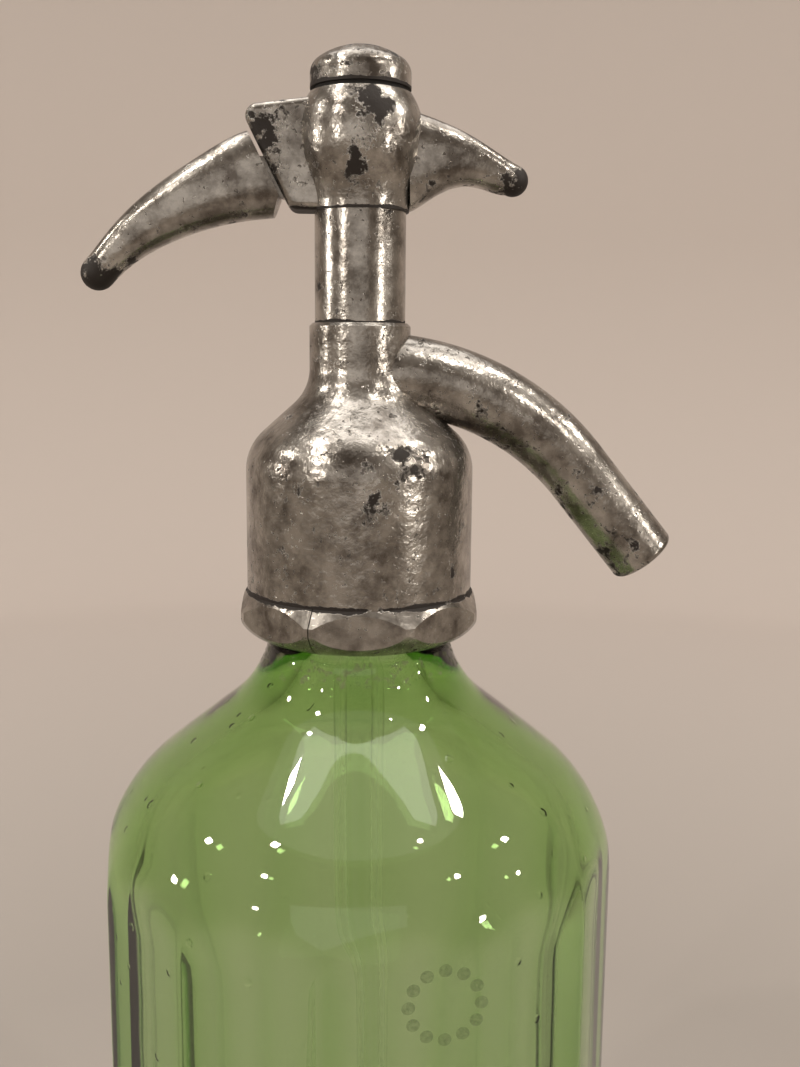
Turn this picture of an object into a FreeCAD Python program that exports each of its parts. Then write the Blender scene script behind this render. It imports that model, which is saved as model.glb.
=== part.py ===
import FreeCAD, Part
import math
import os

# Soda siphon: a thick moulded glass bottle of twelve flat panels, closed by a cast
# lever head. Lengths are in millimetres. The origin is on the bottle's axis in the
# plane that it stands on, +Z is up, +X is the spout's side and -X the lever's side.

V = FreeCAD.Vector
UP = V(0, 0, 1)
ACROSS = V(0, 1, 0)

# General clearances
thread_gap = 0.3          # between a screwed spigot and its bore, radially
slip_gap = 0.1            # between a ring and the rod or tube that it slides on
pin_fit = 0.02            # between the pivot pin and the cheeks that hold it
moving_gap = 0.3          # between parts that move past each other

# Glass bottle
panel_count = 12
panel_turn = 23.0         # azimuth of one panel edge, from the front, degrees
body_edge_radius = 49.0   # to the edges between the panels
glass_wall = 4.0          # at the middle of a panel
heel_radius = 5.0
floor_thickness = 9.0
floor_corner_radius = 9.0
punt_radius = 33.0
punt_depth = 3.5
body_height = 158.5       # of the straight side
shoulder_radius = 30.0
shoulder_slope = 38.5     # below the horizontal, degrees
neck_root_radius = 16.4
neck_fillet_radius = 21.0
bore_fillet_radius = 24.0
neck_ledge_drop = 4.4     # from where the neck would stand upright to its ledge
neck_radius = 13.4
mouth_radius = 10.5
lip_radius = 17.6
lip_height = 6.5
lip_chamfer = 1.0

# Split clamping collar
collar_flange_height = 8.8
collar_sides = 8
collar_flat_radius = 21.45  # to the middle of a flat
collar_corner_radius = 22.9
collar_lip_radius = 16.9
collar_cone_height = 4.4
collar_cone_bulge = 0.8
collar_top_radius = 21.0
collar_top_cone_height = 3.0
collar_thread_radius = 18.6
collar_thread_height = 7.2
collar_split_turn = -22.5   # azimuth of the split, from the front, degrees
collar_split_gap = 0.2

# Rings at the bottle's mouth
neck_packing_thickness = 1.5
head_washer_thickness = 2.0
head_washer_bore_radius = 7.9

# Barrel of the head, with the socket that the column stands in
barrel_radius = 20.9
barrel_side_height = 22.2
barrel_shoulder_radius = 9.5
barrel_shoulder_slope = 42.0   # below the horizontal, degrees
socket_radius = 9.2
socket_fillet_radius = 8.5
socket_height = 8.1            # straight part above the fillet
socket_bore_radius = 7.2
socket_bore_depth = 5.7
socket_chamfer = 0.6
chamber_radius = 5.8
chamber_height = 12.0
seat_bore_radius = 7.5

# Valve seat, and the ferrule that carries the dip tube
seat_thickness = 2.0
seat_hole_radius = 2.4
seat_lip_radius = 3.4
seat_lip_foot_radius = 4.0
seat_lip_height = 1.5
ferrule_length = 16.0
ferrule_lip_height = 4.0
ferrule_bore_radius = 6.3
ferrule_roof_thickness = 3.0
ferrule_chamfer = 0.6
tube_radius = 4.8
tube_bore_radius = 2.4
tube_floor_gap = 3.0
grommet_height = 5.0

# Spout
spout_root_drop = 3.5       # below the top of the valve chamber
spout_root_x = 7.4
spout_root_slope = 5.0      # below the horizontal, degrees
spout_end_slope = 51.0
spout_bend_radius = 48.0
spout_straight = 21.0
spout_root_radius = 7.3
spout_end_radius = 6.3
spout_bore_radius = 3.5
spout_lip_round = 1.1
spout_sections = 5

# Column tube and its gland
column_radius = 8.2
column_length = 19.5
column_bore_radius = 5.0
column_spigot_radius = 7.0
column_foot_length = 3.2
column_head_length = 2.0
gland_packing_thickness = 1.5

# Ball of the head; heights here and below are above the ball's foot
ball_radius = 11.2
ball_foot_radius = 8.7
ball_waist_radius = 9.9      # where its side turns from hollow to full
ball_waist_height = 6.2
ball_belly_height = 13.2
ball_rim_radius = 9.1
ball_height = 20.1
spring_bore_radius = 6.6
cap_bore_radius = 7.7
cap_bore_depth = 6.3

# Boss on the ball, whose slanted face the lever's end follows
boss_half_width = 4.6
boss_foot_reach = 12.4
boss_reach = 21.2
boss_reach_height = 17.4
boss_top_height = 19.2
boss_edge_round = 1.3
boss_corner_round = 2.2
edge_margin = 0.1           # used to tell edges apart by their place

# Lever; a section is its top point, its bottom point and half its width
pivot_x = -11.2
pivot_height = 4.8
pin_radius = 1.5
tang_half_width = 2.0
tang_eye_radius = 3.0
tang_nose_radius = 1.7
tang_neck_half_height = 0.9
tang_neck_length = 5.0
tang_root_half_height = 4.4
tang_root_length = 9.0
lever_gap = 0.6             # between the lever's end and the face of the boss
lever_turn = 11.0           # full pull, degrees
lever_heel_chamfer = 3.0
lever_tip = (-46.9, -11.1)
lever_tip_radius = 3.1
tip_step = 0.02             # of a horn's tip round inside the horn's end
lever_tip_lean = 139.0      # from the tip's bottom to its top, degrees
lever_sections = [
    ((-17.6, 13.8), (-9.6, -0.6), 4.8),
    ((-24.9, 11.5), (-19.4, -1.6), 4.8),
    ((-32.4, 6.8), (-27.2, -3.2), 4.6),
    ((-39.4, 1.6), (-34.3, -5.8), 4.2),
    ((-44.6, -3.6), (-39.6, -8.7), 3.7),
]

# Fixed horn on the other side of the ball, with sections given in the same way
horn_squareness = 2.6       # exponent of the ovals
horn_tip = (27.2, 5.8)
horn_tip_radius = 2.8
horn_tip_lean = 63.0
horn_sections = [
    ((8.2, 17.9), (8.8, 0.2), 4.6),
    ((12.6, 16.4), (11.6, 1.8), 4.5),
    ((17.4, 14.5), (15.9, 4.2), 4.2),
    ((22.6, 11.7), (20.6, 4.6), 3.6),
]

# Piston
rod_radius = 2.4
window_block_radius = 4.4
window_block_height = 7.6
window_block_cone = 1.6
window_half_width = 2.3
flange_radius = 6.2
flange_thickness = 1.2
rod_top_length = 4.0
valve_disc_thickness = 1.4
valve_disc_radius = 4.4
rubber_thickness = 2.4
rubber_radius = 4.2
seat_gap = 0.1
screw_shank_radius = 1.2
screw_head_radius = 1.9
screw_head_height = 1.3
screw_head_chamfer = 0.4
screw_length = 9.0
spring_washer_thickness = 0.8

# Return spring
spring_wire_radius = 0.6
spring_mean_radius = 4.7
spring_turns = 4

# Screw cap
cap_washer_thickness = 0.8
cap_washer_width = 0.6      # outside the cap's thread
cap_radius = 8.95
cap_side_height = 2.5
cap_edge_round = 3.0
cap_edge_turn = 55.0        # of that round before the dome, degrees
cap_hollow_radius = 6.0
cap_hollow_height = 4.0     # above the cap's seat


def step_edges(start, steps):
    """Edges in the XZ plane; a step is a point, or (point on the arc, end) for an arc."""
    edges = []
    here = V(start[0], 0, start[1])
    for step in steps:
        if isinstance(step[0], tuple):
            via, end = step
            there = V(end[0], 0, end[1])
            edges.append(Part.Arc(here, V(via[0], 0, via[1]), there).toShape())
        else:
            there = V(step[0], 0, step[1])
            edges.append(Part.makeLine(here, there))
        here = there
    return edges


def side_face(start, *steps):
    """Closed face in the XZ plane."""
    return Part.Face(Part.Wire(step_edges(start, list(steps) + [start])))


def plate(half_width, start, *steps):
    """Flat plate whose outline lies in the XZ plane, centred on that plane."""
    solid = side_face(start, *steps).extrude(ACROSS * (2 * half_width))
    solid.translate(ACROSS * -half_width)
    return solid


def turned(start, *steps):
    """Solid turned about the Z axis from a closed outline of (radius, z) points."""
    return side_face(start, *steps).revolve(V(0, 0, 0), UP, 360)


def ring(outer, inner, bottom, top):
    """Flat ring about the Z axis."""
    return turned((inner, bottom), (outer, bottom), (outer, top), (inner, top))


def rod(radius, bottom, top):
    """Plain round rod on the Z axis."""
    return Part.makeCylinder(radius, top - bottom, V(0, 0, bottom), UP)


def cross_bar(radius, half_length, x, z):
    """Round bar along Y, centred on the XZ plane."""
    return Part.makeCylinder(radius, 2 * half_length, V(x, -half_length, z), ACROSS)


def block(x_range, half_width, z_range):
    """Box between two X and two Z values, centred on the XZ plane."""
    corner = V(x_range[0], -half_width, z_range[0])
    return Part.makeBox(x_range[1] - x_range[0], 2 * half_width,
                        z_range[1] - z_range[0], corner)


def prism(sides, flat_radius, edge_turn, bottom, top):
    """Regular prism; edge_turn is the azimuth of one edge from the front, in degrees."""
    corner = flat_radius / math.cos(math.pi / sides)
    points = []
    for i in range(sides + 1):
        turn = math.radians(edge_turn + 360 * (i % sides) / sides)
        points.append(V(corner * math.sin(turn), -corner * math.cos(turn), bottom))
    return Part.Face(Part.makePolygon(points)).extrude(UP * (top - bottom))


def polar(centre, radius, degrees):
    """Point in the XZ plane at an angle above the horizontal."""
    turn = math.radians(degrees)
    return (centre[0] + radius * math.cos(turn), centre[1] + radius * math.sin(turn))


def quarter(centre, radius, start_turn):
    """Middle and end of a quarter round about a centre."""
    return (polar(centre, radius, start_turn + 45), polar(centre, radius, start_turn + 90))


def dome(edge_radius, edge_z, top_z):
    """Arc from an edge to the axis, as part of a sphere that rises or sinks there."""
    rise = top_z - edge_z
    radius = (edge_radius ** 2 + rise ** 2) / (2 * rise)
    half_turn = math.asin(edge_radius / radius) / 2
    centre_z = top_z - radius
    via = (radius * math.sin(half_turn), centre_z + radius * math.cos(half_turn))
    return (via, (0, top_z))


def bell(side_radius, start_z, round_radius, slope, top_radius, fillet_radius):
    """Bell outline, from its vertical side up over a round, a slope and a fillet.

    Returns the steps after the point (side_radius, start_z), and the fillet's centre.
    """
    centre = (side_radius - round_radius, start_z)
    normal = 90 - slope
    slope_start = polar(centre, round_radius, normal)
    lean = math.radians(slope)
    fillet_x = top_radius + fillet_radius
    offset = (fillet_x - slope_start[0]) * math.sin(lean)
    fillet_z = slope_start[1] + (fillet_radius - offset) / math.cos(lean)
    fillet_centre = (fillet_x, fillet_z)
    steps = [
        (polar(centre, round_radius, normal / 2), slope_start),
        polar(fillet_centre, -fillet_radius, normal),
        (polar(fillet_centre, -fillet_radius, normal / 2), (top_radius, fillet_z)),
    ]
    return steps, fillet_centre


# Levels and radii that follow from the driving dimensions
panel_radius = body_edge_radius * math.cos(math.pi / panel_count)
inside_radius = panel_radius - glass_wall
bottle_bell, neck_centre = bell(body_edge_radius, body_height, shoulder_radius,
                                shoulder_slope, neck_root_radius, neck_fillet_radius)
neck_ledge_z = neck_centre[1] - neck_ledge_drop
collar_bottom_z = neck_ledge_z + moving_gap
collar_top_z = collar_bottom_z + collar_flange_height
packing_z = collar_top_z + collar_thread_height
lip_bottom_z = packing_z + neck_packing_thickness
lip_top_z = lip_bottom_z + lip_height
barrel_ledge_z = lip_top_z + head_washer_thickness
barrel_shoulder_z = collar_top_z + barrel_side_height
barrel_bell, socket_centre = bell(barrel_radius, barrel_shoulder_z, barrel_shoulder_radius,
                                  barrel_shoulder_slope, socket_radius,
                                  socket_fillet_radius)
socket_top_z = socket_centre[1] + socket_height
gland_z = socket_top_z - socket_bore_depth
gland_washer_z = gland_z + gland_packing_thickness
column_foot_z = socket_top_z - column_foot_length
seat_ledge_z = gland_z - chamber_height
seat_lip_z = seat_ledge_z + seat_lip_height
seat_bottom_z = seat_ledge_z - seat_thickness
tube_top_z = seat_bottom_z - ferrule_roof_thickness
ferrule_bottom_z = seat_bottom_z - ferrule_length
ferrule_ledge_z = ferrule_bottom_z + ferrule_lip_height
spout_root_z = gland_z - spout_root_drop
ball_foot_z = socket_top_z + column_length
column_head_z = ball_foot_z + column_head_length
ball_rim_z = ball_foot_z + ball_height
cap_seat_z = ball_rim_z + cap_washer_thickness
cap_hollow_z = cap_seat_z + cap_hollow_height
pivot_z = ball_foot_z + pivot_height
window_block_z = pivot_z - window_block_height / 2
window_half_height = tang_nose_radius + moving_gap
flange_z = window_block_z + window_block_height
spring_washer_z = flange_z + flange_thickness
spring_z = spring_washer_z + spring_washer_thickness
rubber_z = seat_lip_z + seat_gap
valve_disc_z = rubber_z + rubber_thickness
rod_bottom_z = valve_disc_z + valve_disc_thickness


# Bottle and dip tube
def bottle_outside():
    """Outer form of the glass as a full solid, up to the ledge under the collar."""
    end_turn = math.degrees(math.asin(neck_ledge_drop / neck_fillet_radius))
    middle_turn = (90 - shoulder_slope + end_turn) / 2
    ledge = (polar(neck_centre, -neck_fillet_radius, middle_turn),
             polar(neck_centre, -neck_fillet_radius, end_turn))
    heel = (body_edge_radius - heel_radius, heel_radius)
    form = turned(
        (0, 0), (heel[0], 0), quarter(heel, heel_radius, -90),
        (body_edge_radius, body_height), bottle_bell[0], bottle_bell[1], ledge,
        (0, neck_ledge_z))
    return form.common(prism(panel_count, panel_radius, panel_turn, 0, neck_ledge_z))


def bottle_neck():
    """Neck and flat-topped lip, which the collar grips from below."""
    edge = lip_radius - lip_chamfer
    return turned(
        (0, neck_ledge_z - heel_radius), (neck_radius, neck_ledge_z - heel_radius),
        (neck_radius, lip_bottom_z), (edge, lip_bottom_z),
        (lip_radius, lip_bottom_z + lip_chamfer), (lip_radius, lip_top_z - lip_chamfer),
        (edge, lip_top_z), (0, lip_top_z))


def bottle_inside():
    """Space inside the glass."""
    round_radius = inside_radius - (body_edge_radius - shoulder_radius)
    steps, _ = bell(inside_radius, body_height, round_radius,
                    shoulder_slope, mouth_radius, bore_fillet_radius)
    corner = (inside_radius - floor_corner_radius, floor_thickness + floor_corner_radius)
    return turned(
        (0, floor_thickness), (corner[0], floor_thickness),
        quarter(corner, floor_corner_radius, -90), (inside_radius, body_height), *steps,
        (mouth_radius, lip_top_z), (0, lip_top_z))


def glass_bottle():
    punt = turned((0, 0), (punt_radius, 0), dome(punt_radius, 0, punt_depth))
    return bottle_outside().fuse(bottle_neck()).cut([bottle_inside(), punt])


def dip_tube():
    """Thick glass tube that hangs in the ferrule and ends just above the floor."""
    return ring(tube_radius, tube_bore_radius, floor_thickness + tube_floor_gap, tube_top_z)


# Collar and the rings at the bottle's mouth
def collar():
    """Octagonal flange, coned below, with a short threaded spigot, before its split."""
    bore = neck_radius + thread_gap
    cone_top = collar_bottom_z + collar_cone_height
    cone_middle = ((collar_lip_radius + collar_corner_radius) / 2 + collar_cone_bulge,
                   (collar_bottom_z + cone_top) / 2 - collar_cone_bulge)
    form = turned(
        (bore, collar_bottom_z), (collar_lip_radius, collar_bottom_z),
        (cone_middle, (collar_corner_radius, cone_top)),
        (collar_corner_radius, collar_top_z - collar_top_cone_height),
        (collar_top_radius, collar_top_z), (collar_thread_radius, collar_top_z),
        (collar_thread_radius, packing_z), (bore, packing_z))
    return form.common(prism(collar_sides, collar_flat_radius, 180 / collar_sides,
                             collar_bottom_z, packing_z))


def collar_half(side):
    """Half of the collar, on one side (+1 or -1) of the split."""
    size = 3 * collar_corner_radius
    near = side * collar_split_gap / 2 - (size if side < 0 else 0)
    half_space = Part.makeBox(size, size, size, V(-size / 2, near, collar_bottom_z))
    half_space.rotate(V(0, 0, 0), UP, 90 + collar_split_turn)
    return collar().common(half_space)


def neck_packing():
    return ring(lip_radius, neck_radius + slip_gap, packing_z, lip_bottom_z)


def head_washer():
    return ring(collar_thread_radius, head_washer_bore_radius, lip_top_z, barrel_ledge_z)


# Barrel and spout
def barrel_outside():
    """Outer form of the barrel and its socket, as a full solid."""
    return turned(
        (0, collar_top_z), (barrel_radius, collar_top_z), (barrel_radius, barrel_shoulder_z),
        *barrel_bell, (socket_radius, socket_top_z - socket_chamfer),
        (socket_radius - socket_chamfer, socket_top_z), (0, socket_top_z))


def head_barrel():
    """Barrel with its stepped bore: skirt, seat bore, valve chamber and socket."""
    skirt_radius = collar_thread_radius + thread_gap
    inside = turned(
        (0, collar_top_z), (skirt_radius, collar_top_z), (skirt_radius, barrel_ledge_z),
        (seat_bore_radius, barrel_ledge_z), (seat_bore_radius, seat_ledge_z),
        (chamber_radius, seat_ledge_z), (chamber_radius, gland_z),
        (socket_bore_radius, gland_z), (socket_bore_radius, socket_top_z),
        (0, socket_top_z))
    return barrel_outside().cut([inside, spout_bore()])


def spout_point(slope):
    """Point of the spout's centre line where it slopes down by this angle."""
    root = math.radians(spout_root_slope)
    here = math.radians(slope)
    x = spout_root_x + spout_bend_radius * (math.sin(here) - math.sin(root))
    z = spout_root_z - spout_bend_radius * (math.cos(root) - math.cos(here))
    return V(x, 0, z)


def spout_direction(slope):
    turn = math.radians(slope)
    return V(math.cos(turn), 0, -math.sin(turn))


def spout_bend(root_radius, end_radius):
    """Bent, evenly tapering round bar, as a loft through circles."""
    wires = []
    for i in range(spout_sections):
        share = i / (spout_sections - 1)
        slope = spout_root_slope + share * (spout_end_slope - spout_root_slope)
        radius = root_radius + share * (end_radius - root_radius)
        circle = Part.Circle(spout_point(slope), spout_direction(slope), radius)
        wires.append(Part.Wire(circle.toShape()))
    return Part.makeLoft(wires, True, False)


def spout_bar(root_radius, end_radius, root_length):
    """Bend with its straight root, which reaches into the socket, and straight end."""
    along_root = spout_direction(spout_root_slope)
    along_end = spout_direction(spout_end_slope)
    start = spout_point(spout_root_slope) - along_root * root_length
    root = Part.makeCylinder(root_radius, root_length, start, along_root)
    end = Part.makeCylinder(end_radius, spout_straight, spout_point(spout_end_slope),
                            along_end)
    return root.fuse([spout_bend(root_radius, end_radius), end])


def spout_bore():
    """Water way from the valve chamber to the spout's end."""
    return spout_bar(spout_bore_radius, spout_bore_radius, chamber_radius / 2)


def spout():
    bar = spout_bar(spout_root_radius, spout_end_radius, spout_root_x / 2)
    tip = spout_point(spout_end_slope) + spout_direction(spout_end_slope) * spout_straight
    rim = [e for e in bar.Edges if (e.CenterOfMass - tip).Length < spout_lip_round]
    bar = bar.makeFillet(spout_lip_round, rim)
    return bar.cut([barrel_outside(), spout_bore()])


# Valve seat, ferrule and gland
def valve_seat():
    """Brass disc with a raised lip round its hole."""
    radius = seat_bore_radius - slip_gap
    return turned(
        (seat_hole_radius, seat_bottom_z), (radius, seat_bottom_z), (radius, seat_ledge_z),
        (seat_lip_foot_radius, seat_ledge_z), (seat_lip_radius, seat_lip_z),
        (seat_hole_radius, seat_lip_z))


def tube_ferrule():
    """Brass plug that screws up into the barrel and carries the dip tube."""
    radius = seat_bore_radius - slip_gap
    throat = tube_radius + thread_gap
    return turned(
        (throat, ferrule_bottom_z), (radius - ferrule_chamfer, ferrule_bottom_z),
        (radius, ferrule_bottom_z + ferrule_chamfer), (radius, seat_bottom_z),
        (tube_bore_radius, seat_bottom_z), (tube_bore_radius, tube_top_z),
        (ferrule_bore_radius, tube_top_z), (ferrule_bore_radius, ferrule_ledge_z),
        (throat, ferrule_ledge_z))


def tube_grommet():
    return ring(ferrule_bore_radius - slip_gap, tube_radius + slip_gap,
                ferrule_ledge_z, ferrule_ledge_z + grommet_height)


def column_tube():
    """Turned tube with a spigot at each end, between the barrel and the ball."""
    return turned(
        (column_bore_radius, column_foot_z), (column_spigot_radius, column_foot_z),
        (column_spigot_radius, socket_top_z), (column_radius, socket_top_z),
        (column_radius, ball_foot_z), (column_spigot_radius, ball_foot_z),
        (column_spigot_radius, column_head_z), (column_bore_radius, column_head_z))


def gland_packing():
    return ring(column_spigot_radius, rod_radius + slip_gap, gland_z, gland_washer_z)


def gland_washer():
    return ring(column_spigot_radius, rod_radius + slip_gap, gland_washer_z, column_foot_z)


# Valve head
def ball_outside():
    """Pear-shaped casting, widest above its middle, as a full solid."""
    foot = (ball_foot_radius, ball_foot_z)
    waist = (ball_waist_radius, ball_foot_z + ball_waist_height)
    belly = (ball_radius, ball_foot_z + ball_belly_height)
    rim = (ball_rim_radius, ball_rim_z)
    return turned(
        (0, ball_foot_z), foot, (upright_middle(foot, waist), waist),
        (upright_middle(belly, waist), belly), (upright_middle(belly, rim), rim),
        (0, ball_rim_z))


def upright_middle(start, end):
    """Middle of an arc that leaves its start upright and runs to an end point."""
    rise = end[1] - start[1]
    inward = start[0] - end[0]
    radius = (rise ** 2 + inward ** 2) / (2 * inward)
    turn = math.degrees(math.asin(rise / radius)) / 2
    return polar((start[0] - radius, start[1]), radius, turn)


def boss_face_points():
    """Lower and upper end of the boss's slanted face."""
    return ((-boss_foot_reach, ball_foot_z), (-boss_reach, ball_foot_z + boss_reach_height))


def lever_boss():
    """Slanted block on the ball, whose two cheeks hold the lever's pin."""
    low, high = boss_face_points()
    inner = -socket_bore_radius
    solid = plate(boss_half_width, low, high, (inner, ball_foot_z + boss_top_height),
                  (inner, ball_foot_z))
    corners = [e for e in solid.Edges
               if e.BoundBox.YLength > boss_half_width
               and e.BoundBox.XMax < inner - edge_margin]
    solid = solid.makeFillet(boss_corner_round, corners)
    outline = [e for e in solid.Edges
               if e.BoundBox.YLength < edge_margin
               and e.BoundBox.XMin < inner - edge_margin]
    return solid.makeFillet(boss_edge_round, outline)


def lever_slot():
    """Slot through the boss into the ball, in which the lever's tang swings."""
    half = tang_half_width + moving_gap
    eye = tang_eye_radius + moving_gap
    lift = tang_nose_radius - pivot_x * math.sin(math.radians(lever_turn)) + moving_gap
    wide = block((-boss_reach, pivot_x + eye), half,
                 (pivot_z - eye, pivot_z + tang_root_half_height + moving_gap))
    narrow = block((pivot_x, -spring_bore_radius / 2), half,
                   (column_head_z + moving_gap, pivot_z + lift))
    return wide.fuse(narrow)


def valve_head():
    """Ball and boss in one casting, bored for the column, the spring and the cap."""
    cap_bore_z = ball_rim_z - cap_bore_depth
    spring_bore_z = column_head_z + slip_gap
    space = turned(
        (0, ball_foot_z), (socket_bore_radius, ball_foot_z),
        (socket_bore_radius, spring_bore_z), (spring_bore_radius, spring_bore_z),
        (spring_bore_radius, cap_bore_z), (cap_bore_radius, cap_bore_z),
        (cap_bore_radius, ball_rim_z), (0, ball_rim_z))
    pin_hole = cross_bar(pin_radius + pin_fit, boss_half_width, pivot_x, pivot_z)
    return ball_outside().fuse(lever_boss()).cut([space, lever_slot(), pin_hole])


# Horns
def oval(top, bottom, half_width, squareness):
    """Closed oval wire whose height runs from a top to a bottom point of the XZ plane."""
    centre = (top + bottom) * 0.5
    points = []
    for i in range(12):
        turn = 2 * math.pi * i / 12
        up = math.cos(turn)
        out = math.sin(turn)
        up = math.copysign(abs(up) ** (2 / squareness), up)
        out = math.copysign(abs(out) ** (2 / squareness), out)
        points.append(centre + (top - centre) * up + ACROSS * (out * half_width))
    curve = Part.BSplineCurve()
    curve.interpolate(points, PeriodicFlag=True)
    return Part.Wire(curve.toShape())


def on_head(point):
    """Point of the XZ plane whose height is given above the ball's foot."""
    return V(point[0], 0, ball_foot_z + point[1])


def horn(sections, tip, tip_radius, tip_lean):
    """Tapering curved horn: a loft through ovals that ends in a round tip."""
    wires = [oval(on_head(top), on_head(bottom), half, horn_squareness)
             for top, bottom, half in sections]
    centre = on_head(tip)
    upward = on_head(polar(tip, 1, tip_lean)) - centre
    outward = ACROSS.cross(upward)
    if outward.x * tip[0] < 0:
        outward = -outward
    wires.append(oval(centre + upward * tip_radius, centre - upward * tip_radius,
                      tip_radius, 2))
    end = Part.makeSphere(tip_radius - tip_step, centre, outward, 0, 90, 360)
    return Part.makeLoft(wires, True, False).fuse(end)


def finger_horn():
    """Fixed horn that the fingers hold, brazed to the ball opposite the lever."""
    form = horn(horn_sections, horn_tip, horn_tip_radius, horn_tip_lean)
    return form.cut(ball_outside())


def lever_side():
    """Space left of the boss: parallel to its face, and cut back at the lever's heel."""
    low, high = boss_face_points()
    foot = V(low[0], 0, low[1])
    along = (V(high[0], 0, high[1]) - foot).normalize()
    out = V(-along.z, 0, along.x)
    size = 2 * boss_reach_height
    face = foot + out * lever_gap
    heel = face + along * lever_heel_chamfer
    heel_foot = face + out * lever_heel_chamfer - along * size
    corners = [heel, face + along * size, face + along * size + out * 2 * size,
               heel_foot + out * 2 * size, heel_foot, heel_foot + along * size, heel]
    solid = Part.Face(Part.makePolygon(corners)).extrude(ACROSS * (2 * size))
    solid.translate(ACROSS * -size)
    return solid


def lever_tang():
    """Flat tang: root in the horn, eye on the pin and nose in the piston's window."""
    half = tang_half_width
    eye = cross_bar(tang_eye_radius, half, pivot_x, pivot_z)
    nose = cross_bar(tang_nose_radius, half, 0, pivot_z)
    neck = tang_neck_half_height
    arm = plate(
        half, (pivot_x, pivot_z + tang_eye_radius), (-tang_neck_length, pivot_z + neck),
        (0, pivot_z + neck), (0, pivot_z - neck), (-tang_neck_length, pivot_z - neck),
        (pivot_x, pivot_z - tang_eye_radius))
    root_x = pivot_x - tang_root_length
    root = plate(
        half, (pivot_x, pivot_z + tang_eye_radius),
        (pivot_x - tang_root_half_height, pivot_z + tang_root_half_height),
        (root_x, pivot_z + tang_root_half_height),
        (root_x, pivot_z - tang_eye_radius / 2), (pivot_x, pivot_z - tang_eye_radius))
    return eye.fuse([nose, arm, root])


def lever():
    hand = horn(lever_sections, lever_tip, lever_tip_radius, lever_tip_lean)
    hole = cross_bar(pin_radius + slip_gap, boss_half_width, pivot_x, pivot_z)
    return hand.common(lever_side()).fuse(lever_tang()).cut(hole)


def lever_pin():
    return cross_bar(pin_radius, boss_half_width, pivot_x, pivot_z)


# Piston, spring and cap
def piston_rod():
    """Rod with a window for the lever's nose and a flange that the spring bears on."""
    top_z = spring_washer_z + rod_top_length
    body = turned(
        (0, rod_bottom_z), (rod_radius, rod_bottom_z),
        (rod_radius, window_block_z - window_block_cone),
        (window_block_radius, window_block_z), (window_block_radius, flange_z),
        (flange_radius, flange_z), (flange_radius, spring_washer_z),
        (rod_radius, spring_washer_z), (rod_radius, top_z), (0, top_z))
    window = block((-flange_radius, flange_radius), window_half_width,
                   (pivot_z - window_half_height, pivot_z + window_half_height))
    hole = rod(screw_shank_radius + slip_gap, rod_bottom_z,
               rubber_z + screw_length + slip_gap)
    return body.cut([window, hole])


def valve_disc():
    return ring(valve_disc_radius, screw_shank_radius + slip_gap, valve_disc_z, rod_bottom_z)


def valve_rubber():
    return ring(rubber_radius, screw_shank_radius + slip_gap, rubber_z, valve_disc_z)


def valve_screw():
    """Screw that clamps the rubber, with its round head in the hole of the seat."""
    head_z = rubber_z - screw_head_height
    return turned(
        (0, head_z), (screw_head_radius - screw_head_chamfer, head_z),
        (screw_head_radius, head_z + screw_head_chamfer), (screw_head_radius, rubber_z),
        (screw_shank_radius, rubber_z), (screw_shank_radius, rubber_z + screw_length),
        (0, rubber_z + screw_length))


def spring_washer():
    return ring(flange_radius - slip_gap, rod_radius + slip_gap, spring_washer_z, spring_z)


def return_spring():
    """Coil of half-turn arcs between the washer and the cap's roof."""
    bottom = spring_z + spring_wire_radius
    rise = (cap_hollow_z - spring_wire_radius - bottom) / (2 * spring_turns)
    arcs = []
    for i in range(2 * spring_turns):
        side = 1 - 2 * (i % 2)
        start = V(side * spring_mean_radius, 0, bottom + i * rise)
        middle = V(0, side * spring_mean_radius, bottom + (i + 0.5) * rise)
        end = V(-side * spring_mean_radius, 0, bottom + (i + 1) * rise)
        arcs.append(Part.Arc(start, middle, end).toShape())
    start = V(spring_mean_radius, 0, bottom)
    section = Part.Wire(Part.Circle(start, ACROSS, spring_wire_radius).toShape())
    return Part.Wire(arcs).makePipeShell([section], True, False)


def screw_cap():
    """Domed cap with a threaded skirt, hollow for the spring."""
    edge_centre = (cap_radius - cap_edge_round, cap_seat_z + cap_side_height)
    edge = polar(edge_centre, cap_edge_round, cap_edge_turn)
    top_z = edge[1] + edge[0] * math.tan(math.radians(90 - cap_edge_turn) / 2)
    skirt_radius = cap_bore_radius - thread_gap
    skirt_z = ball_rim_z - cap_bore_depth + thread_gap
    return turned(
        (cap_hollow_radius, skirt_z), (skirt_radius, skirt_z), (skirt_radius, cap_seat_z),
        (cap_radius, cap_seat_z), (cap_radius, edge_centre[1]),
        (polar(edge_centre, cap_edge_round, cap_edge_turn / 2), edge),
        dome(edge[0], edge[1], top_z), (0, cap_hollow_z),
        (cap_hollow_radius, cap_hollow_z))


def cap_washer():
    return ring(cap_bore_radius + cap_washer_width, cap_bore_radius + slip_gap,
                ball_rim_z, cap_seat_z)


PIECES = {
    "glass_bottle": glass_bottle(),
    "dip_tube": dip_tube(),
    "collar_half_right": collar_half(1),
    "collar_half_left": collar_half(-1),
    "neck_packing": neck_packing(),
    "head_washer": head_washer(),
    "head_barrel": head_barrel(),
    "spout": spout(),
    "valve_seat": valve_seat(),
    "tube_ferrule": tube_ferrule(),
    "tube_grommet": tube_grommet(),
    "column_tube": column_tube(),
    "gland_packing": gland_packing(),
    "gland_washer": gland_washer(),
    "valve_head": valve_head(),
    "finger_horn": finger_horn(),
    "lever": lever(),
    "lever_pin": lever_pin(),
    "piston_rod": piston_rod(),
    "valve_disc": valve_disc(),
    "valve_rubber": valve_rubber(),
    "valve_screw": valve_screw(),
    "spring_washer": spring_washer(),
    "return_spring": return_spring(),
    "screw_cap": screw_cap(),
    "cap_washer": cap_washer(),
}

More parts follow.
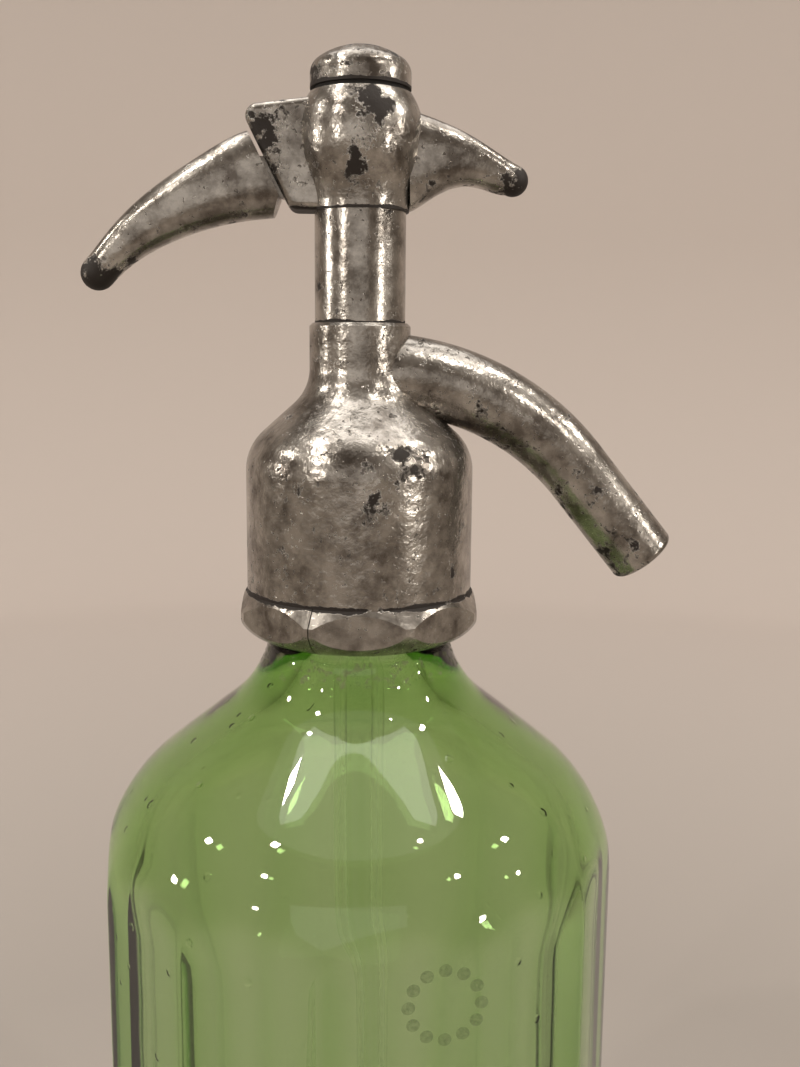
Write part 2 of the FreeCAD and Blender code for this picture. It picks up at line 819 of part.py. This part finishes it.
os.makedirs("parts", exist_ok=True)
for name, shape in PIECES.items():
    shape.exportStep("parts/" + name + ".step")
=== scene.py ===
import bpy
import math
import numpy as np
from mathutils import Matrix, Vector


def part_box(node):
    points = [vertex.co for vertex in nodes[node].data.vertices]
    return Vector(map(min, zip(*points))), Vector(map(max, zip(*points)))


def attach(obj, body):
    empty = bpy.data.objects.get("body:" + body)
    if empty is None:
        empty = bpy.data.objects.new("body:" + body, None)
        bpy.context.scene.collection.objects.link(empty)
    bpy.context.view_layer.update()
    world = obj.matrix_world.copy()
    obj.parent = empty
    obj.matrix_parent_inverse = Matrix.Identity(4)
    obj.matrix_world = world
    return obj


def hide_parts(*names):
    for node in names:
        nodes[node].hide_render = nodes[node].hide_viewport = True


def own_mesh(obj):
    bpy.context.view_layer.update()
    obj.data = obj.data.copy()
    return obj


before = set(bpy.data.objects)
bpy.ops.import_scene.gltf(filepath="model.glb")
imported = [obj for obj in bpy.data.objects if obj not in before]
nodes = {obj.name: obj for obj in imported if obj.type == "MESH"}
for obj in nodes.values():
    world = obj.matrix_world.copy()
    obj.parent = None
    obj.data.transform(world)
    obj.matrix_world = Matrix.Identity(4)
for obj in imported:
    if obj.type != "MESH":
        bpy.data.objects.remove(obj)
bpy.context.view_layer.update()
bpy.context.scene.view_settings.view_transform = "Standard"


# Room: a matt plaster floor that rises all round the siphon as a wall. It is warm grey
# under and behind the siphon, and darker elsewhere, painted shade for the metal to mirror.
# Near the siphon the floor is darker too, painted shade that grows paler with the distance.
floor_radius = 0.9          # to where the floor begins to rise, metres as below
floor_round = 0.4
wall_radius = 1.3
wall_height = 2.2


def linear(code):
    """Scene colour of an sRGB hex code."""
    parts = [int(code[i:i + 2], 16) / 255 for i in (1, 3, 5)]
    return tuple(p / 12.92 if p <= 0.04045 else ((p + 0.055) / 1.055) ** 2.4 for p in parts)


def paint(code):
    """The same colour with full alpha, as a shader's colour socket takes it."""
    return linear(code) + (1.0,)


def add(tree, kind, inputs, **settings):
    """Adds a shader node, sets what it is given, and links what comes from a socket."""
    node = tree.nodes.new("ShaderNode" + kind)
    for name, value in settings.items():
        setattr(node, name, value)
    for key, value in inputs.items():
        if isinstance(value, bpy.types.NodeSocket):
            tree.links.new(value, node.inputs[key])
        else:
            node.inputs[key].default_value = value
    return node


def grid_mesh(name, points, closed_u, closed_v):
    """Mesh of a grid of points, whose axis 0 is u and axis 1 is v, closed where asked."""
    u_count, v_count = points.shape[:2]
    u = np.arange(u_count if closed_u else u_count - 1)
    v = np.arange(v_count if closed_v else v_count - 1)
    uu, vv = np.meshgrid(u, v, indexing="ij")
    u_next = (uu + 1) % u_count
    v_next = (vv + 1) % v_count
    corners = [uu * v_count + vv, u_next * v_count + vv,
               u_next * v_count + v_next, uu * v_count + v_next]
    faces = np.stack(corners, -1).reshape(-1, 4)
    mesh = bpy.data.meshes.new(name)
    mesh.from_pydata(points.reshape(-1, 3).tolist(), [], faces.tolist())
    mesh.shade_smooth()
    piece = bpy.data.objects.new(name, mesh)
    bpy.context.scene.collection.objects.link(piece)
    return piece


def new_material(name):
    """Material with an empty node tree."""
    material = bpy.data.materials.new(name)
    material.use_nodes = True
    material.node_tree.nodes.clear()
    return material


def give(material, *pieces):
    """Makes this the only material of each piece."""
    for piece in pieces:
        piece.data.materials.clear()
        piece.data.materials.append(material)


def plaster_with_painted_shade():
    """Matt plaster: warm grey under and behind the siphon, darker all round as painted
    shade.

    Behind is where Y is large against the distance from the middle, and under is where
    that distance is small. There the grey grows paler with the distance, from painted shade
    near the siphon.
    """
    material = new_material("plaster_with_painted_shade")
    tree = material.node_tree
    place = add(tree, "TexCoord", {}).outputs["Object"]
    axes = add(tree, "SeparateXYZ", {0: place}).outputs
    away = add(tree, "VectorMath", {0: place}, operation="LENGTH").outputs["Value"]
    course = add(tree, "Math", {0: axes["Y"], 1: away}, operation="DIVIDE").outputs[0]
    behind = add(tree, "MapRange", {"Value": course, "From Min": 0.25, "From Max": 0.65})
    under = add(tree, "MapRange", {"Value": away, "From Min": 0.35, "From Max": 0.7,
                                   "To Min": 1.0, "To Max": 0.0})
    pale = add(tree, "Math", {0: behind.outputs[0], 1: under.outputs[0]},
               operation="MAXIMUM")
    # Painted shade: the floor is darker near the siphon and paler towards the wall.
    far = add(tree, "MapRange", {"Value": away, "From Min": 0.25, "From Max": 0.95})
    light = add(tree, "Mix", {"Factor": far.outputs[0], 6: paint("#938B84"),
                              7: paint("#C6BBB3")}, data_type="RGBA")
    # Painted shade: the front and sides are darker, for the metal to mirror.
    tint = add(tree, "Mix", {"Factor": pale.outputs[0], 6: paint("#887E74"),
                             7: light.outputs[2]}, data_type="RGBA")
    surface = add(tree, "BsdfPrincipled", {"Base Color": tint.outputs[2], "Roughness": 0.9})
    add(tree, "OutputMaterial", {"Surface": surface.outputs[0]})
    return material


def round_room():
    """Floor, quarter round and wall: a profile of radius and height turned about Z."""
    bend = np.linspace(0, math.pi / 2, 24)
    radius = np.concatenate([[0.001], floor_radius + floor_round * np.sin(bend),
                             [wall_radius]])
    z = np.concatenate([[0], floor_round - floor_round * np.cos(bend), [wall_height]])
    u = np.radians(np.arange(0, 360, 5.0))[:, None]
    points = np.stack([radius * np.cos(u), radius * np.sin(u), z + 0 * u], -1)
    return grid_mesh("room", points[:, ::-1], True, False)


room = round_room()
give(plaster_with_painted_shade(), room)


# Light: an even warm sky, a wide soft lamp overhead, a weak one in front, and six small
# bright ones on each side, which sparkle on the glass and make streaks on the tin.
sky_colour = "#CFC8C0"
soft_colour = "#FFFDFA"
spot_colour = "#FFFAF2"
lamp_aim = Vector((0, 0, 0.2))
spot_distance = 1.05        # metres
spot_size = 0.045
spot_power = 1.5            # watts
first_turn = 48             # degrees away from the front, as below
column_turn = 32
first_rise = 8
row_rise = 24

world = bpy.data.worlds.new("sky")
world.use_nodes = True
sky = world.node_tree.nodes["Background"]
sky.inputs["Color"].default_value = paint(sky_colour)
sky.inputs["Strength"].default_value = 1.0
bpy.context.scene.world = world


def lamp(name, place, width, height, power, tint):
    """Rectangular lamp that faces the siphon and that the camera doesn't see."""
    light = bpy.data.lights.new(name, "AREA")
    light.shape = "RECTANGLE"
    light.size = width
    light.size_y = height
    light.energy = power
    light.color = linear(tint)
    holder = bpy.data.objects.new(name, light)
    holder.location = place
    holder.rotation_euler = (lamp_aim - Vector(place)).to_track_quat("-Z", "Y").to_euler()
    holder.visible_camera = False
    bpy.context.scene.collection.objects.link(holder)


def spot_way(side, column, row, sway):
    """Direction to a small lamp: even steps of turn and rise, made uneven by the sway."""
    turn = math.radians(side * (first_turn + column_turn * column + 3 * row + 6 * sway))
    rise = math.radians(first_rise + row_rise * row + 6 * column - 5 * sway)
    return Vector((math.sin(turn) * math.cos(rise), -math.cos(turn) * math.cos(rise),
                   math.sin(rise)))


lamp("ceiling", (0.0, 0.25, 1.35), 1.2, 0.9, 8.5, soft_colour)
lamp("front_fill", (-0.1, -1.1, 0.4), 1.0, 0.6, 1.1, soft_colour)
for side in (-1, 1):
    for column in range(2):
        for row in range(3):
            sway = math.sin(5 * row + 3 * column + side)
            size = spot_size + 0.015 * sway
            lamp("spot", lamp_aim + spot_distance * spot_way(side, column, row, sway),
                 size, size, spot_power, spot_colour)


# Camera: close in front of the siphon, about as high as the column's foot. It looks a
# little down and is rolled slightly.
camera_place = (0, -0.212, 0.2584)
camera_yaw = -2.05          # degrees, as below
camera_drop = 9.24
camera_roll = 0.5

eye = bpy.data.cameras.new("camera")
eye.lens = 38.7
eye.sensor_width = 36
eye.clip_start = 0.01
viewer = bpy.data.objects.new("camera", eye)
viewer.matrix_world = Matrix.Translation(camera_place) @ (
    Matrix.Rotation(math.radians(camera_yaw), 4, "Z")
    @ Matrix.Rotation(math.radians(90 - camera_drop), 4, "X")
    @ Matrix.Rotation(math.radians(camera_roll), 4, "Z"))
bpy.context.scene.collection.objects.link(viewer)
bpy.context.scene.camera = viewer


# Bottle: thick pressed glass, pale green where it is thin and dark green where one
# looks along the wall. Twelve flat panels meet the turned shoulder in arches.
MM = 0.001
panel_count = 12
edge_azimuth = 23.0         # of one edge between panels, from the front, degrees
edge_radius = 49.0          # to the edges between panels, millimetres as below
edge_softness = 0.5
panel_inset = 0.05          # keeps the panels inside the solid's
skin_inset = 0.02           # does the same for the heel
inside_radius = 43.33
inside_foot_radius = 43.3
heel_radius = 5.0
floor_top = 9.0
floor_corner = 9.0
side_top = 158.5            # where the shoulder's round begins
shoulder_slope = 38.5       # degrees
shoulder_round = 30.0
neck_root_radius = 16.4
neck_fillet = 21.0
ledge_height = 204.6
bore_radius = 10.55
bore_fillet = 12.0
ripple_size = 22
bubble_spacing = 9


def per_mm(size):
    """Pattern scale on Object coordinates for a feature of this size in millimetres."""
    return 1000 / size


def arc(centre, radius, start, end, count):
    """Points of an arc in (radius, z), angles in degrees above the outward direction."""
    a = np.radians(np.linspace(start, end, count))
    return np.stack([centre[0] + radius * np.cos(a), centre[1] + radius * np.sin(a)], -1)


def bell_profile(side, round_radius, top_radius, fillet, count):
    """Shoulder outline: a round, a straight slope and a fillet to an upright neck."""
    centre = (side - round_radius, side_top)
    normal = 90 - shoulder_slope
    lean = math.radians(shoulder_slope)
    start = arc(centre, round_radius, normal, normal, 1)[0]
    run = (top_radius + fillet - start[0]) * math.sin(lean)
    middle = (top_radius + fillet, start[1] + (fillet - run) / math.cos(lean))
    return np.concatenate([arc(centre, round_radius, 0, normal, count),
                           arc(middle, -fillet, normal, 0, count)])


def spread(profile, count):
    """The same outline with its points evenly spaced along its length."""
    step = np.linalg.norm(np.diff(profile, axis=0), axis=1)
    along = np.concatenate([[0], np.cumsum(step)])
    even = np.linspace(0, along[-1], count)
    return np.stack([np.interp(even, along, profile[:, i]) for i in range(2)], -1)


def outer_profile():
    """From the middle of the punt round the heel and up the shoulder to the ledge."""
    heel = (edge_radius - heel_radius, heel_radius)
    profile = np.concatenate([
        [(0.01, 3.4), (20, 2.2), (33, 0.1), (34.5, skin_inset), (43.5, skin_inset)],
        arc(heel, heel_radius - skin_inset, -90, 0, 14), [(edge_radius - skin_inset, 80)],
        bell_profile(edge_radius, shoulder_round, neck_root_radius, neck_fillet, 40)])
    return profile[profile[:, 1] < ledge_height]


def inner_profile():
    """From the mouth down the shoulder and the side to the middle of the floor."""
    wall = edge_radius - inside_radius
    corner = (inside_foot_radius - floor_corner, floor_top + floor_corner)
    return np.concatenate([
        bell_profile(inside_radius, shoulder_round - wall, bore_radius, bore_fillet,
                     30)[::-1],
        [(inside_foot_radius, 90)], arc(corner, floor_corner, 0, -90, 10),
        [(0.01, floor_top)]])


def bottle_surface():
    """Closed skin: u goes round the bottle, v along its outline from punt to floor.

    Outside, the radius is the smaller, softly blended, of the turned outline and a flat
    panel's distance at that azimuth. Inside, it is the turned outline less a shallow wave.
    """
    neck = np.array([(13.45, 204.65), (13.45, 222.4), (16.6, 222.5), (17.5, 223.5),
                     (17.55, 228.0), (16.6, 228.85), (11.5, 228.88), (10.55, 228.2)])
    outer_count = 150
    profile = np.concatenate([spread(outer_profile(), outer_count), neck,
                              spread(inner_profile(), 90)])
    is_outer = np.arange(len(profile)) < outer_count
    azimuth = np.radians(np.arange(0, 360, 1.0))
    half_panel = math.pi / panel_count
    first_middle = math.radians(edge_azimuth + 180 / panel_count)
    off = (azimuth - first_middle + half_panel) % (2 * half_panel) - half_panel
    flat = ((edge_radius * math.cos(half_panel) - panel_inset) / np.cos(off))[:, None]
    radius = np.tile(profile[:, 0], (len(azimuth), 1))
    low = -edge_softness * np.log(np.exp(-radius / edge_softness)
                                  + np.exp(-flat / edge_softness))
    wave = 0.12 * np.sin(3 * azimuth)[:, None] * np.sin(profile[:, 1] / 19)[None, :]
    inside = radius - np.abs(wave) * (profile[:, 0] > 20)
    radius = np.where(is_outer[None, :], low, inside)
    x = radius * np.sin(azimuth)[:, None]
    y = -radius * np.cos(azimuth)[:, None]
    z = np.tile(profile[:, 1], (len(azimuth), 1))
    return np.stack([x, y, z], -1) * MM


def pressed_glass():
    """Soda-lime glass with iron: green by depth, faint ripples and small bubbles."""
    material = new_material("pressed_green_glass")
    tree = material.node_tree
    place = add(tree, "TexCoord", {}).outputs["Object"]
    ripple = add(tree, "TexNoise", {"Vector": place, "Scale": per_mm(ripple_size),
                                    "Detail": 1.0})
    cells = add(tree, "TexVoronoi", {"Vector": place, "Scale": per_mm(bubble_spacing)})
    bubble = add(tree, "MapRange", {"Value": cells.outputs["Distance"], "From Min": 0.05,
                                    "From Max": 0.09, "To Min": 1.0, "To Max": 0.0})
    height = add(tree, "Math", {0: bubble.outputs[0], 1: 0.5, 2: ripple.outputs["Fac"]},
                 operation="MULTIPLY_ADD")
    bump = add(tree, "Bump", {"Height": height.outputs[0], "Strength": 0.35,
                              "Distance": 0.0006})
    surface = add(tree, "BsdfPrincipled", {
        "Base Color": (1, 1, 1, 1), "Roughness": 0.02, "IOR": 1.52,
        "Transmission Weight": 1.0, "Normal": bump.outputs[0]})
    depth = add(tree, "VolumeAbsorption", {"Color": (0.46, 0.75, 0.14, 1),
                                           "Density": 135.0})
    add(tree, "OutputMaterial", {"Surface": surface.outputs[0], "Volume": depth.outputs[0]})
    return material


bottle = grid_mesh("glass_bottle_surface", bottle_surface(), True, False)
give(pressed_glass(), bottle)
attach(bottle, "body")
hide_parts("glass_bottle")


# Etched ring: twelve plain frosted dots cut into one front panel. Each is a thin disc
# that lies just proud of the glass.
dot_count = 12
dot_radius = 1.1
ring_radius = 5.9
ring_side = 7.2             # of the ring's middle, along the panel
ring_height = 156.0
ring_facing = 8.0           # azimuth of the panel's middle, degrees
panel_distance = 47.3


def etched_dots():
    """Discs on the panel's plane: u goes round a dot, v from its middle to its rim."""
    facing = math.radians(ring_facing)
    out = np.array([math.sin(facing), -math.cos(facing), 0]) * MM
    along = np.array([math.cos(facing), math.sin(facing), 0]) * MM
    up = np.array([0, 0, 1]) * MM
    turn = np.radians(np.arange(0, 360, 360 / dot_count))[:, None, None]
    u = np.radians(np.arange(0, 360, 20))[None, :, None]
    v = np.array([0.02, 0.7, 1.0])[None, None, :] * dot_radius
    side = ring_side + ring_radius * np.sin(turn) + v * np.sin(u)
    high = ring_height + ring_radius * np.cos(turn) + v * np.cos(u)
    return panel_distance * out + side[..., None] * along + high[..., None] * up


def frosted():
    """Etched glass: grey-green and matt, half seen through."""
    material = new_material("etched_frost")
    tree = material.node_tree
    place = add(tree, "TexCoord", {}).outputs["Object"]
    bite = add(tree, "TexNoise", {"Vector": place, "Scale": per_mm(0.7), "Detail": 3.0})
    cover = add(tree, "MapRange", {"Value": bite.outputs["Fac"], "From Min": 0.3,
                                   "From Max": 0.7, "To Min": 0.3, "To Max": 0.7})
    surface = add(tree, "BsdfPrincipled", {"Base Color": paint("#67754F"), "Roughness": 0.9,
                                           "Alpha": cover.outputs[0]})
    add(tree, "OutputMaterial", {"Surface": surface.outputs[0]})
    return material


frost = frosted()
for number, points in enumerate(etched_dots()):
    dot = grid_mesh(f"etched_dot_{number + 1}", points, True, False)
    give(frost, dot)
    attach(dot, "body")


# Lime: a broken chalky line that hard water leaves on the glass just under the collar,
# on the fillet between the shoulder and the neck.
lime_foot = 199.3
lime_top = 203.6
lime_thickness = 0.04
fillet_height = 209.03      # of the fillet's centre


def lime_line():
    """Band on the neck's fillet: its radius follows the same arc as the bottle's skin."""
    azimuth = np.radians(np.arange(0, 360, 3.0))[:, None]
    z = np.linspace(lime_foot, lime_top, 8)[None, :]
    radius = (neck_root_radius + neck_fillet + lime_thickness
              - np.sqrt(neck_fillet ** 2 - (fillet_height - z) ** 2))
    return np.stack([radius * np.sin(azimuth), -radius * np.cos(azimuth),
                     z + 0 * azimuth], -1) * MM


def lime():
    """Chalky grey scale in broken specks."""
    material = new_material("lime_scale")
    tree = material.node_tree
    place = add(tree, "TexCoord", {}).outputs["Object"]
    speck = add(tree, "TexNoise", {"Vector": place, "Scale": per_mm(1.8), "Detail": 6.0,
                                   "Roughness": 0.7})
    cover = add(tree, "MapRange", {"Value": speck.outputs["Fac"], "From Min": 0.53,
                                   "From Max": 0.62, "To Min": 0.0, "To Max": 0.6})
    surface = add(tree, "BsdfPrincipled", {"Base Color": paint("#77785C"), "Roughness": 0.9,
                                           "Alpha": cover.outputs[0]})
    add(tree, "OutputMaterial", {"Surface": surface.outputs[0]})
    return material


scale_line = grid_mesh("lime_line", lime_line(), True, False)
give(lime(), scale_line)
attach(scale_line, "body")


# Dip tube: drawn glass, nearly clear. It hangs on the axis from the ferrule in the
# barrel, and is seen through the bottle's wall.
def drawn_glass():
    """Nearly clear tube glass with a slight haze that comes and goes."""
    material = new_material("drawn_tube_glass")
    tree = material.node_tree
    place = add(tree, "TexCoord", {}).outputs["Object"]
    haze = add(tree, "TexNoise", {"Vector": place, "Scale": per_mm(12)})
    rough = add(tree, "MapRange", {"Value": haze.outputs["Fac"], "To Min": 0.01,
                                   "To Max": 0.05})
    surface = add(tree, "BsdfPrincipled", {
        "Base Color": paint("#FAFDF7"), "Roughness": rough.outputs[0], "IOR": 1.5,
        "Transmission Weight": 1.0})
    add(tree, "OutputMaterial", {"Surface": surface.outputs[0]})
    return material


give(drawn_glass(), nodes["dip_tube"])


# Barrel: cast in tin alloy and screwed down on the collar. It was once polished and is
# now warm grey and finely crinkled, with brown to black oxide in pits and blotches.
blotch_size = 5             # millimetres, as below
speck_size = 1.0
mottle_size = 6
crinkle_size = 1.7
crinkle_depth = 0.25


def oxide_and_shade_amount(tree, place, cover, blotches, seams):
    """How far oxide and painted shade hide the tin, from 0 to 1.

    It shows where a noise, raised near blotches and seams and, as painted shade, on what
    faces down, passes the level of cover. Fine specks gather where that noise is high.
    """
    spots = add(tree, "TexNoise", {"Vector": place, "Scale": per_mm(blotch_size),
                                   "Detail": 9.0, "Roughness": 0.68})
    level = spots.outputs["Fac"]
    for centre, reach, lift in blotches:
        away = add(tree, "VectorMath", {0: place, 1: [c * MM for c in centre]},
                   operation="DISTANCE")
        near = add(tree, "MapRange", {"Value": away.outputs["Value"], "From Min": 0.0,
                                      "From Max": reach * MM, "To Min": lift,
                                      "To Max": 0.0}, interpolation_type="SMOOTHSTEP")
        level = add(tree, "Math", {0: level, 1: near.outputs[0]}).outputs[0]
    for seam in seams:
        height = add(tree, "SeparateXYZ", {0: place}).outputs["Z"]
        above = add(tree, "Math", {0: height, 1: -seam * MM}).outputs[0]
        gap = add(tree, "Math", {0: above}, operation="ABSOLUTE").outputs[0]
        near = add(tree, "MapRange", {"Value": gap, "From Min": 0.1 * MM,
                                      "From Max": 0.7 * MM, "To Min": 0.3, "To Max": 0.0})
        level = add(tree, "Math", {0: level, 1: near.outputs[0]}).outputs[0]
    # Painted shade: faces that look down get more of the dark oxide colour.
    facing = add(tree, "SeparateXYZ", {0: add(tree, "NewGeometry", {}).outputs["Normal"]})
    under = add(tree, "MapRange", {"Value": facing.outputs["Z"], "From Min": 0.1,
                                   "From Max": -1.0, "To Min": 0.0, "To Max": 0.09})
    level = add(tree, "Math", {0: level, 1: under.outputs[0]}).outputs[0]
    blotch = add(tree, "MapRange", {"Value": level, "From Min": cover,
                                    "From Max": cover + 0.04})
    fine = add(tree, "TexNoise", {"Vector": place, "Scale": per_mm(speck_size),
                                  "Detail": 4.0, "Roughness": 0.6})
    near_blotch = add(tree, "Math", {0: level, 1: 0.45, 2: fine.outputs["Fac"]},
                      operation="MULTIPLY_ADD")
    speck = add(tree, "MapRange", {"Value": near_blotch.outputs[0],
                                   "From Min": 0.4 + cover * 0.72,
                                   "From Max": 0.46 + cover * 0.72, "To Max": 0.7})
    return add(tree, "Math", {0: blotch.outputs[0], 1: speck.outputs[0]},
               operation="MAXIMUM").outputs[0]


def worn_tin(name, cover, crinkle, blotches=(), seams=()):
    """Mottled grey tin, and brown oxide that is rougher and mirrors less and also paints
    shade on faces that look down.

    A blotch is its centre in millimetres, its reach and how much it raises the noise. A
    seam is the height of a joint line that holds dirt.
    """
    material = new_material(name)
    tree = material.node_tree
    place = add(tree, "TexCoord", {}).outputs["Object"]
    oxide_and_shade = oxide_and_shade_amount(tree, place, cover, blotches, seams)
    tone = add(tree, "TexNoise", {"Vector": place, "Scale": per_mm(mottle_size),
                                  "Detail": 8.0, "Roughness": 0.65})
    bright = add(tree, "MapRange", {"Value": tone.outputs["Fac"], "From Min": 0.36,
                                    "From Max": 0.6})
    metal = add(tree, "Mix", {"Factor": bright.outputs[0], 6: paint("#665F58"),
                              7: paint("#AFA9A1")}, data_type="RGBA")
    # The dark brown is oxide, and painted shade where faces look down.
    brown = add(tree, "Mix", {"Factor": oxide_and_shade, 6: metal.outputs[2], 7: paint("#241D18")},
                data_type="RGBA")
    grain = add(tree, "TexNoise", {"Vector": place, "Scale": per_mm(crinkle_size),
                                   "Detail": 3.0, "Roughness": 0.55})
    pits = add(tree, "Math", {0: oxide_and_shade, 1: -0.5, 2: grain.outputs["Fac"]},
               operation="MULTIPLY_ADD")
    bump = add(tree, "Bump", {"Height": pits.outputs[0], "Strength": crinkle,
                              "Distance": crinkle_depth * MM})
    rough = add(tree, "MapRange", {"Value": oxide_and_shade, "To Min": 0.24, "To Max": 0.62})
    less = add(tree, "MapRange", {"Value": oxide_and_shade, "To Min": 0.9, "To Max": 0.35})
    surface = add(tree, "BsdfPrincipled", {
        "Base Color": brown.outputs[2], "Metallic": less.outputs[0],
        "Roughness": rough.outputs[0], "Normal": bump.outputs[0]})
    add(tree, "OutputMaterial", {"Surface": surface.outputs[0]})
    return material


barrel_foot = 213.9
give(worn_tin("barrel_tin", 0.645, 0.65, [
    ((6, -21, 240), 12, 0.11), ((-1, -18, 246), 7, 0.09), ((3, -21, 232), 7, 0.08)],
    [barrel_foot]), nodes["head_barrel"])


# Collar: two cast halves that grip the neck under the lip and are held by the barrel's
# thread. They are smoother than the barrel, with dirt in the joint above their flats.
collar_top = 213.7
give(worn_tin("collar_tin", 0.67, 0.35, [], [collar_top]),
     nodes["collar_half_left"], nodes["collar_half_right"])


# Spout: a bent tapering tube, brazed into the barrel's socket. It is darkest towards its
# open end.
give(worn_tin("spout_tin", 0.625, 0.55, [((52, 0, 216), 16, 0.09)]), nodes["spout"])


# Column: a turned tube between the barrel and the ball, smoother than the castings, with
# dirt in the joint at its foot.
column_foot = 262.6
give(worn_tin("column_tin", 0.65, 0.35, [((-4, -7, 270), 8, 0.06)], [column_foot]),
     nodes["column_tube"])


# Ball: cast in one with the slotted boss whose cheeks hold the lever's pin. Oxide has
# eaten into its front and into the boss.
ball_foot = 282.1
give(worn_tin("ball_tin", 0.635, 0.6, [
    ((2, -10, 299), 7, 0.24), ((0, -11, 290), 5, 0.15), ((-17, -4, 297), 9, 0.2),
    ((-14, -5, 290), 6, 0.11)], [ball_foot]), nodes["valve_head"], nodes["lever_pin"])


# Fixed horn: a cast horn that the fingers hold, brazed to the ball opposite the lever.
# Its tip is black.
give(worn_tin("horn_tin", 0.62, 0.5, [((29, 0, 288), 7, 0.22)]), nodes["finger_horn"])


# Lever: a cast horn with a flat tang, which swings on the pin and lifts the piston. The
# hand keeps it smooth, and its tip is black.
give(worn_tin("lever_tin", 0.655, 0.4, [((-49, 0, 269), 9, 0.33)]), nodes["lever"])


# Screw cap: turned and domed. It screws down on the ball over the spring, with dirt in
# the line above its washer.
cap_foot = 303.0
give(worn_tin("cap_tin", 0.55, 0.5, [((0, 0, 311), 9, 0.1)], [cap_foot]),
     nodes["screw_cap"])


# Brass parts: the seat, the ferrule, the gland's washer and the piston with its valve.
# They are turned, dull and hidden in the head.
def dull_brass():
    """Turned brass that has gone brown."""
    material = new_material("dull_brass")
    tree = material.node_tree
    place = add(tree, "TexCoord", {}).outputs["Object"]
    tarnish = add(tree, "TexNoise", {"Vector": place, "Scale": per_mm(3), "Detail": 5.0})
    tint = add(tree, "Mix", {"Factor": tarnish.outputs["Fac"], 6: paint("#8A713F"),
                             7: paint("#6A5735")}, data_type="RGBA")
    surface = add(tree, "BsdfPrincipled", {"Base Color": tint.outputs[2], "Metallic": 1.0,
                                           "Roughness": 0.38})
    add(tree, "OutputMaterial", {"Surface": surface.outputs[0]})
    return material


give(dull_brass(), *[nodes[n] for n in (
    "valve_seat", "tube_ferrule", "gland_washer", "piston_rod", "valve_disc", "valve_screw",
    "spring_washer")])


# Seals: black rubber rings, gone dull and a little dusty. They sit in the joints at the
# neck, the tube, the gland and the cap, and the valve closes with one.
def aged_rubber():
    """Matt black rubber with grey dust."""
    material = new_material("aged_rubber")
    tree = material.node_tree
    place = add(tree, "TexCoord", {}).outputs["Object"]
    dust = add(tree, "TexNoise", {"Vector": place, "Scale": per_mm(2), "Detail": 4.0})
    tint = add(tree, "Mix", {"Factor": dust.outputs["Fac"], 6: paint("#171513"),
                             7: paint("#2A2724")}, data_type="RGBA")
    surface = add(tree, "BsdfPrincipled", {"Base Color": tint.outputs[2], "Roughness": 0.8})
    add(tree, "OutputMaterial", {"Surface": surface.outputs[0]})
    return material


give(aged_rubber(), *[nodes[n] for n in (
    "neck_packing", "head_washer", "tube_grommet", "gland_packing", "valve_rubber",
    "cap_washer")])


# Return spring: drawn steel wire coiled between the washer on the piston and the cap's
# roof. It shortens as the lever lifts the piston.
wire_radius = 0.6
coil_radius = 4.7           # to the middle of the wire
coil_turns = 4


def coil_surface():
    """Round section carried along a helix: u runs along the wire, v round it.

    The section shrinks almost to nothing at both ends, which closes them.
    """
    low, high = [corner.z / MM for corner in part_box("return_spring")]
    u = np.linspace(0, 2 * math.pi * coil_turns, 48 * coil_turns + 1)
    thick = np.concatenate([[0.005], np.full(len(u), wire_radius), [0.005]])[:, None]
    u = np.concatenate([u[:1], u, u[-1:]])[:, None]
    v = np.radians(np.arange(0, 360, 24))[None, :]
    radius = coil_radius + thick * np.cos(v)
    rise = (high - low - 2 * wire_radius) * u / (2 * math.pi * coil_turns)
    z = low + wire_radius + rise + thick * np.sin(v)
    return np.stack([radius * np.cos(u), radius * np.sin(u), z], -1) * MM


def spring_wire():
    """Grey drawn wire, shinier in some places than in others."""
    material = new_material("drawn_spring_wire")
    tree = material.node_tree
    place = add(tree, "TexCoord", {}).outputs["Object"]
    wear = add(tree, "TexNoise", {"Vector": place, "Scale": per_mm(0.8)})
    rough = add(tree, "MapRange", {"Value": wear.outputs["Fac"], "To Min": 0.25,
                                   "To Max": 0.45})
    surface = add(tree, "BsdfPrincipled", {"Base Color": paint("#85827D"), "Metallic": 1.0,
                                           "Roughness": rough.outputs[0]})
    add(tree, "OutputMaterial", {"Surface": surface.outputs[0]})
    return material


coil = grid_mesh("spring_coil", coil_surface(), False, True)
give(spring_wire(), coil)
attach(coil, "body")
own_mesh(coil)
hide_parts("return_spring")
